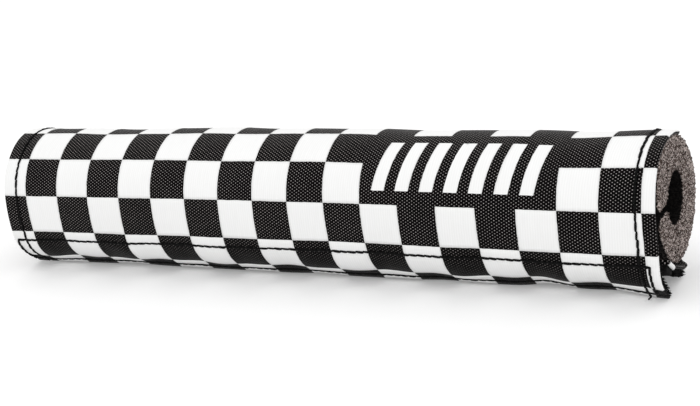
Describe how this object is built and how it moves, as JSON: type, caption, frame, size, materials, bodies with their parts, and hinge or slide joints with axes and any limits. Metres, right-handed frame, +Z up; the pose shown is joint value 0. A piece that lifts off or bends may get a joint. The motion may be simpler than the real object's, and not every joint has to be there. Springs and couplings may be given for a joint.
{
  "type": "handlebar pad",
  "caption": "Foam tube with a slit, wrapped in checkerboard cloth that closes underneath with hook and loop tape.",
  "frame": {"origin": "the middle of the pad's outline, on the surface that it lies on", "axes": "+X along the pad towards the end with the barred panel, -Y the front, +Z up"},
  "size_m": [0.229, 0.0418, 0.0449],
  "materials": {
    "foam": "open-cell grey-brown foam, matt",
    "cloth": "black woven nylon, faint sheen",
    "ink": "smooth white print on woven cloth",
    "tape": "black hook and loop tape, matt and fuzzy",
    "thread": "black twisted thread"
  },
  "bodies": {
    "root": {"foam_tube": "foam", "cover": "cloth", "white_print": "ink", "panel_bar_1": "ink", "panel_bar_2": "ink", "panel_bar_3": "ink", "panel_bar_4": "ink", "panel_bar_5": "ink", "panel_bar_6": "ink", "panel_bar_7": "ink", "hook_tape": "tape", "loop_tape": "tape", "cover_thread": "thread", "loop_tape_thread": "thread"}
  },
  "joints": []
}
